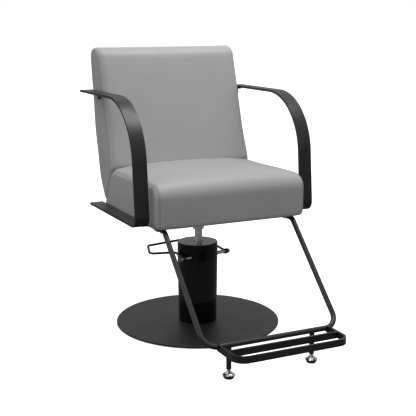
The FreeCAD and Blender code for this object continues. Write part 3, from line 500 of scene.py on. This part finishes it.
def makeSeatCushion():
    low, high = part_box("seat_cover")
    half = high.x
    rear = high.y + seat["rearReach"]
    piece = addBox("seatCushion", (-half, low.y, low.z), (half, rear, seat["sideTop"]))
    startEditing(piece)
    chooseEdges(piece, lambda a, b: onLine(a, b, rear, seat["sideTop"]))
    bpy.ops.transform.translate(value=(0, seat["topRear"] - rear, -seat["rearDip"]))
    chooseEdges(piece, lambda a, b: onLine(a, b, low.y, seat["sideTop"]))
    bpy.ops.mesh.bevel(offset=seat["frontRound"], segments=12, affect="EDGES")
    chooseEdges(piece, lambda a, b: onLine(a, b, low.y, low.z))
    bpy.ops.mesh.bevel(offset=seat["lowRound"], segments=4, affect="EDGES")

    def tightEdge(a, b):
        sloping = min(a.y, b.y) > seat["topRear"] - 0.001 and abs(a.z - b.z) > 0.1
        return sloping or (near(a.z, low.z) and near(b.z, low.z))

    chooseEdges(piece, lambda a, b: onSide(a, b, half) and not tightEdge(a, b), sharp=True)
    bpy.ops.mesh.bevel(offset=seat["edgeRound"], segments=7, affect="EDGES")
    chooseEdges(piece, lambda a, b: onSide(a, b, half) and tightEdge(a, b), sharp=True)
    bpy.ops.mesh.bevel(offset=seat["tightRound"], segments=3, affect="EDGES")
    stopEditing()

    def keepInside(points):
        points[:, 0] = np.clip(points[:, 0], -half - seat["sideSwell"], half + seat["sideSwell"])
        points[:, 1] = np.maximum(points[:, 1], low.y - seat["frontSwell"])
        points[:, 2] = np.maximum(points[:, 2], low.z)
        return points

    inflate(piece, seat, keepInside)
    # the foam is crowned: highest along the middle, falling to the side seams
    points = readPoints(piece)
    across = 1 - np.clip(np.abs(points[:, 0]) / half, 0, 1) ** 2.4
    along = np.clip((points[:, 1] - low.y) / seat["crownStart"], 0, 1)
    rearward = np.clip((points[:, 1] - low.y) / (seat["topRear"] - low.y), 0, 1)
    upper = np.clip((points[:, 2] - low.z) / (seat["sideTop"] - low.z), 0, 1) ** 3
    points[:, 2] += (seat["crown"] + seat["rearDip"] * rearward) * across * along * upper
    writePoints(piece, points)
    smoothPiece(piece, 2)
    corners = []
    for side in (-1, 1):
        x = side * (half - seat["seamTop"])
        route = [Vector((x, seat["topRear"] + 0.004, seat["sideTop"] - seat["rearDip"]))]
        route.append(Vector((x, low.y + seat["frontRound"] + 0.02, seat["sideTop"])))
        for turn in range(0, seamCord["cornerSteps"] + 1):
            angle = math.pi / 2 * turn / seamCord["cornerSteps"]
            inward = seat["seamTop"] + (seat["seamFront"] - seat["seamTop"]) * turn / seamCord["cornerSteps"]
            y = low.y + seat["frontRound"] * (1 - math.sin(angle))
            z = seat["sideTop"] - seat["frontRound"] * (1 - math.cos(angle))
            route.append(Vector((side * (half - inward), y - 0.001, z + 0.001)))
        route.append(Vector((side * (half - seat["seamFront"]), low.y, low.z + 0.004)))
        corners.append(route)
    finishPad(piece, greyVinyl)
    for route in corners:
        places = alongRoute(route, seamCord["step"])
        pressSeam(piece, ontoSurface(piece, places), seat["seamDepth"], seat["seamWidth"])
    for index, route in enumerate(corners):
        places = alongRoute(route, seamCord["step"])
        sewSeam("seatSeam" + "RL"[index], piece, places, seamCord, stitch, (-1,) if index else (1,))
    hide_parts("seat_cover", "seat_foam")
    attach(piece, "chair")


# backrest cushion

back = {
    # heights at which the rear face bends, and how far back it is there
    "levels": [(0.526, 0.274), (0.700, 0.320), (0.925, 0.345)],
    "knee": 0.576,
    "kneeFront": 0.1312,
    "footFront": 0.217,
    "topFront": 0.263,
    "topRear": 0.347,
    "topRound": 0.033,
    "edgeRound": 0.022,
    "rearRound": 0.008,
    "bendRound": 0.03,
    "sideSwell": 0.003,
    "rearSwell": 0.001,
    "topSwell": 0.004,
    "seamDepth": 0.0012,
    "seamWidth": 0.004,
    "seamInset": 0.016,
    "seamTurn": 0.055,       # how far below the top the seam starts to turn
    "seamEase": 0.004,
    "seamFall": 1.4,
    "voxel": 0.0066,
    "pressure": 4.0,
    "reach": 0.005,
    "evenRounds": 120,
    "frames": 20,
}


def frontAt(z):
    low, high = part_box("backrest_cover")
    places = [back["footFront"], back["kneeFront"], back["topFront"]]
    return np.interp(z, [low.z, back["knee"], high.z], places)


def rearAt(z):
    low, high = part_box("backrest_cover")
    heights = [low.z] + [height for height, rear in back["levels"]] + [high.z]
    places = [back["footFront"] + seat["rearReach"]]
    places += [rear for height, rear in back["levels"]] + [back["topRear"]]
    return np.interp(z, heights, places)


def bendToOutline(piece, heights, front, rear):
    # cuts the upright box across at each height, then moves its front and rear edges onto the outline
    for height in heights[1:-1]:
        bpy.ops.mesh.select_all(action="SELECT")
        bpy.ops.mesh.bisect(plane_co=(0, 0, height), plane_no=(0, 0, 1))
    for height in heights:
        for y, target in ((0.2, front(height)), (0.3, rear(height))):
            chooseEdges(piece, lambda a, b: onLine(a, b, y, height))
            bpy.ops.transform.translate(value=(0, target - y, 0))


def makeBackCushion():
    low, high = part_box("backrest_cover")
    half = high.x
    piece = addBox("backCushion", (-half, 0.2, low.z), (half, 0.3, high.z))
    startEditing(piece)
    heights = sorted([low.z, back["knee"], high.z] + [height for height, rear in back["levels"]])
    bendToOutline(piece, heights, frontAt, rearAt)
    for target, offset in ((frontAt(high.z), back["topRound"]), (rearAt(high.z), back["topRound"] + 0.002)):
        chooseEdges(piece, lambda a, b: onLine(a, b, target, high.z))
        bpy.ops.mesh.bevel(offset=offset, segments=9, affect="EDGES")
    for height, rear in back["levels"]:
        chooseEdges(piece, lambda a, b: onLine(a, b, rearAt(height), height))
        bpy.ops.mesh.bevel(offset=back["bendRound"], segments=4, affect="EDGES")
    def onRear(a, b):
        return all(p.y > frontAt(high.z) + 0.03 or p.y > rearAt(p.z) - 0.012 for p in (a, b))

    def onFoot(a, b):
        return max(a.z, b.z) < back["knee"] + 0.001

    chooseEdges(piece, lambda a, b: onSide(a, b, half) and not onRear(a, b) and not onFoot(a, b), sharp=True)
    bpy.ops.mesh.bevel(offset=back["edgeRound"], segments=7, affect="EDGES")
    chooseEdges(piece, lambda a, b: onSide(a, b, half) and onFoot(a, b) and not onRear(a, b), sharp=True)
    bpy.ops.mesh.bevel(offset=seat["tightRound"], segments=3, affect="EDGES")
    chooseEdges(piece, lambda a, b: onSide(a, b, half) and onRear(a, b), sharp=True)
    bpy.ops.mesh.bevel(offset=back["rearRound"], segments=4, affect="EDGES")
    stopEditing()

    def keepInside(points):
        points[:, 0] = np.clip(points[:, 0], -half - back["sideSwell"], half + back["sideSwell"])
        points[:, 1] = np.minimum(points[:, 1], rearAt(points[:, 2]) + back["rearSwell"])
        points[:, 2] = np.clip(points[:, 2], low.z, high.z + back["topSwell"])
        return points

    inflate(piece, back, keepInside)
    smoothPiece(piece, 2)
    finishPad(piece, greyVinyl)
    # boxing seams run up each side just behind the front edge, over the top and down before the rear edge
    inset = back["seamInset"]
    corner = back["topRound"] - inset
    turned = high.z - back["seamTurn"]
    for index, side in enumerate((-1, 1)):
        x = side * half
        route = [Vector((x, frontAt(z) + inset, z)) for z in (back["knee"] + 0.012, 0.7, 0.85, turned)]
        for turn in range(1, seamCord["cornerSteps"]):
            angle = math.pi / 2 * turn / seamCord["cornerSteps"]
            y = frontAt(high.z) + inset + corner * (1 - math.cos(angle)) + back["seamEase"]
            z = high.z - inset - corner * (1 - math.sin(angle)) * back["seamFall"]
            route.append(Vector((x, y, z)))
        route.append(Vector((x, (back["topFront"] + back["topRear"]) / 2, high.z - inset)))
        for turn in range(1, seamCord["cornerSteps"]):
            angle = math.pi / 2 * turn / seamCord["cornerSteps"]
            y = rearAt(high.z) - inset - corner * (1 - math.sin(angle)) - back["seamEase"]
            z = high.z - inset - corner * (1 - math.cos(angle)) * back["seamFall"]
            route.append(Vector((x, y, z)))
        for z in (turned, 0.925, 0.85, 0.7, 0.6, 0.526, low.z + 0.03):
            route.append(Vector((x, rearAt(z) - inset, z)))
        places = alongRoute(route, seamCord["step"])
        pressSeam(piece, ontoSurface(piece, places), back["seamDepth"], back["seamWidth"])
        sewSeam("backSeam" + "RL"[index], piece, places, seamCord, stitch, (1,) if index else (-1,))
    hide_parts("backrest_cover", "backrest_foam")
    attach(piece, "chair")


# padded panel that closes the rear of the backrest

panel = {
    "edge": 0.004,           # how far the panel stops short of its board's side
    "proud": 0.004,
    "thick": 0.016,
    "round": 0.006,
    "seamInset": 0.012,
    "seamDepth": 0.001,
    "seamWidth": 0.0035,
    "voxel": 0.005,
    "pressure": 3.0,
    "reach": 0.003,
    "evenRounds": 300,
    "frames": 20,
}


def makeRearPanel():
    low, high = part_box("rear_panel_cover")
    half = high.x - panel["edge"]
    piece = addBox("rearPanel", (-half, 0.2, low.z), (half, 0.3, high.z))
    startEditing(piece)
    heights = [low.z] + [height for height, rear in back["levels"]] + [high.z]

    def outerAt(z):
        return rearAt(z) + panel["proud"]

    def innerAt(z):
        return outerAt(z) - panel["thick"]

    bendToOutline(piece, heights, innerAt, outerAt)
    for height in heights[1:-1]:
        chooseEdges(piece, lambda a, b: onLine(a, b, outerAt(height), height))
        bpy.ops.mesh.bevel(offset=back["bendRound"], segments=4, affect="EDGES")
    chooseEdges(piece, lambda a, b: onSide(a, b, half), sharp=True)
    bpy.ops.mesh.bevel(offset=panel["round"], segments=4, affect="EDGES")
    for height in (low.z, high.z):
        chooseEdges(piece, lambda a, b: onLine(a, b, outerAt(height), height))
        bpy.ops.mesh.bevel(offset=panel["round"], segments=4, affect="EDGES")
    stopEditing()

    def keepInside(points):
        points[:, 0] = np.clip(points[:, 0], -half, half)
        points[:, 2] = np.clip(points[:, 2], low.z, high.z)
        return points

    inflate(piece, panel, keepInside)
    smoothPiece(piece, 2)
    finishPad(piece, greyVinyl)
    inset = panel["seamInset"]
    foot, head = low.z + inset, high.z - inset
    corners = [(-1, foot), (1, foot), (1, head), (-1, head), (-1, foot)]
    parts = 8
    route = []
    for (side, z), (nextSide, nextZ) in zip(corners[:-1], corners[1:]):
        for part in range(parts):
            level = z + (nextZ - z) * part / parts
            x = (side + (nextSide - side) * part / parts) * (half - inset)
            route.append(Vector((x, outerAt(level), level)))
    route.append(route[0].copy())
    places = alongRoute(route, seamCord["step"])
    pressSeam(piece, ontoSurface(piece, places), panel["seamDepth"], panel["seamWidth"])
    sewSeam("panelSeam", piece, places, seamCord, stitch, (-1,))
    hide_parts("rear_panel_cover", "rear_panel_foam")
    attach(piece, "chair")


makeSeatCushion()
print("seat cushion done")
makeBackCushion()
print("backrest cushion done")
makeRearPanel()
print("rear panel done")


# floor, light and camera

studio = {
    "floorTone": 0.9,
    "floorSize": 50,
    "floorHeight": -0.0005,
    "backdropRadius": 24,
    "floorGlow": 0.8,
    "backdropGlow": 1.0,
    # height of the direction, from straight down to straight up, and its brightness
    "sky": [(0.0, 0.12), (0.46, 0.16), (0.56, 0.45), (0.75, 0.62), (1.0, 0.75)],
    "aim": (0, 0.05, 0.6),
    "overheadPlace": (0.45, -0.25, 2.7),
    "overheadSize": 1.3,
    "overheadPower": 27,
    "sidePlace": (-2.6, 0.55, 1.3),
    "sideSize": 1.6,
    "sidePower": 9,
    "cameraPlace": (-1.38084, -2.89464, 1.10556),
    "cameraTurn": (math.pi / 2 - 0.208, 0, -0.456),
    "lens": 77.98,
}


def onlySeen(piece):
    # the camera sees it, but it throws no light, reflection or shadow on the chair
    piece.visible_diffuse = False
    piece.visible_glossy = False
    piece.visible_transmission = False
    piece.visible_shadow = False


def makeFloor():
    deselectAll()
    bpy.ops.mesh.primitive_plane_add(size=studio["floorSize"], location=(0, 0, studio["floorHeight"]))
    floor = bpy.context.object
    floor.name = "studioFloor"
    material, tree, shader = newMaterial("Pale floor", (studio["floorTone"],) * 3, 0.9)
    tone = studio["floorTone"]
    varyColour(tree, shader, addNoise(tree, 0.6, 2), (tone,) * 3, (tone + 0.01,) * 3)
    shader.inputs["Emission Color"].default_value = (1, 1, 1, 1)
    shader.inputs["Emission Strength"].default_value = studio["floorGlow"]
    shader.inputs["Specular IOR Level"].default_value = 0.0
    floor.data.materials.append(material)
    onlySeen(floor)
    deselectAll()
    bpy.ops.mesh.primitive_uv_sphere_add(segments=48, ring_count=24, radius=studio["backdropRadius"])
    backdrop = bpy.context.object
    backdrop.name = "studioBackdrop"
    material, tree, shader = newMaterial("White backdrop", (0, 0, 0), 1.0)
    shader.inputs["Emission Color"].default_value = (1, 1, 1, 1)
    shader.inputs["Emission Strength"].default_value = studio["backdropGlow"]
    shader.inputs["Specular IOR Level"].default_value = 0.0
    backdrop.data.materials.append(material)
    onlySeen(backdrop)


def makeSky():
    # soft studio light from all round: brightest overhead, dim below the horizon
    world = bpy.data.worlds.new("Studio")
    world.use_nodes = True
    tree = world.node_tree
    coordinates = tree.nodes.new("ShaderNodeTexCoord")
    split = tree.nodes.new("ShaderNodeSeparateXYZ")
    spread = tree.nodes.new("ShaderNodeMapRange")
    spread.inputs["From Min"].default_value = -1
    ramp = tree.nodes.new("ShaderNodeValToRGB")
    while len(ramp.color_ramp.elements) < len(studio["sky"]):
        ramp.color_ramp.elements.new(0.5)
    for element, (height, glow) in zip(ramp.color_ramp.elements, studio["sky"]):
        element.position = height
        element.color = (glow, glow, glow, 1)
    tree.links.new(coordinates.outputs["Generated"], split.inputs["Vector"])
    tree.links.new(split.outputs["Z"], spread.inputs["Value"])
    tree.links.new(spread.outputs["Result"], ramp.inputs["Fac"])
    tree.links.new(ramp.outputs["Color"], tree.nodes["Background"].inputs["Color"])
    bpy.context.scene.world = world
    for name in ("overhead", "side"):
        deselectAll()
        bpy.ops.object.light_add(type="AREA", location=studio[name + "Place"])
        softbox = bpy.context.object
        softbox.name = name + "Softbox"
        softbox.data.size = studio[name + "Size"]
        softbox.data.energy = studio[name + "Power"]
        aim = Vector(studio["aim"]) - softbox.location
        softbox.rotation_euler = aim.to_track_quat("-Z", "Y").to_euler()


def makeCamera():
    deselectAll()
    bpy.ops.object.camera_add(location=studio["cameraPlace"], rotation=studio["cameraTurn"])
    camera = bpy.context.object
    camera.data.lens = studio["lens"]
    camera.data.sensor_width = 36
    camera.data.clip_end = 80
    bpy.context.scene.camera = camera
    bpy.context.scene.view_settings.view_transform = "Standard"


makeFloor()
makeSky()
makeCamera()
print("studio done")
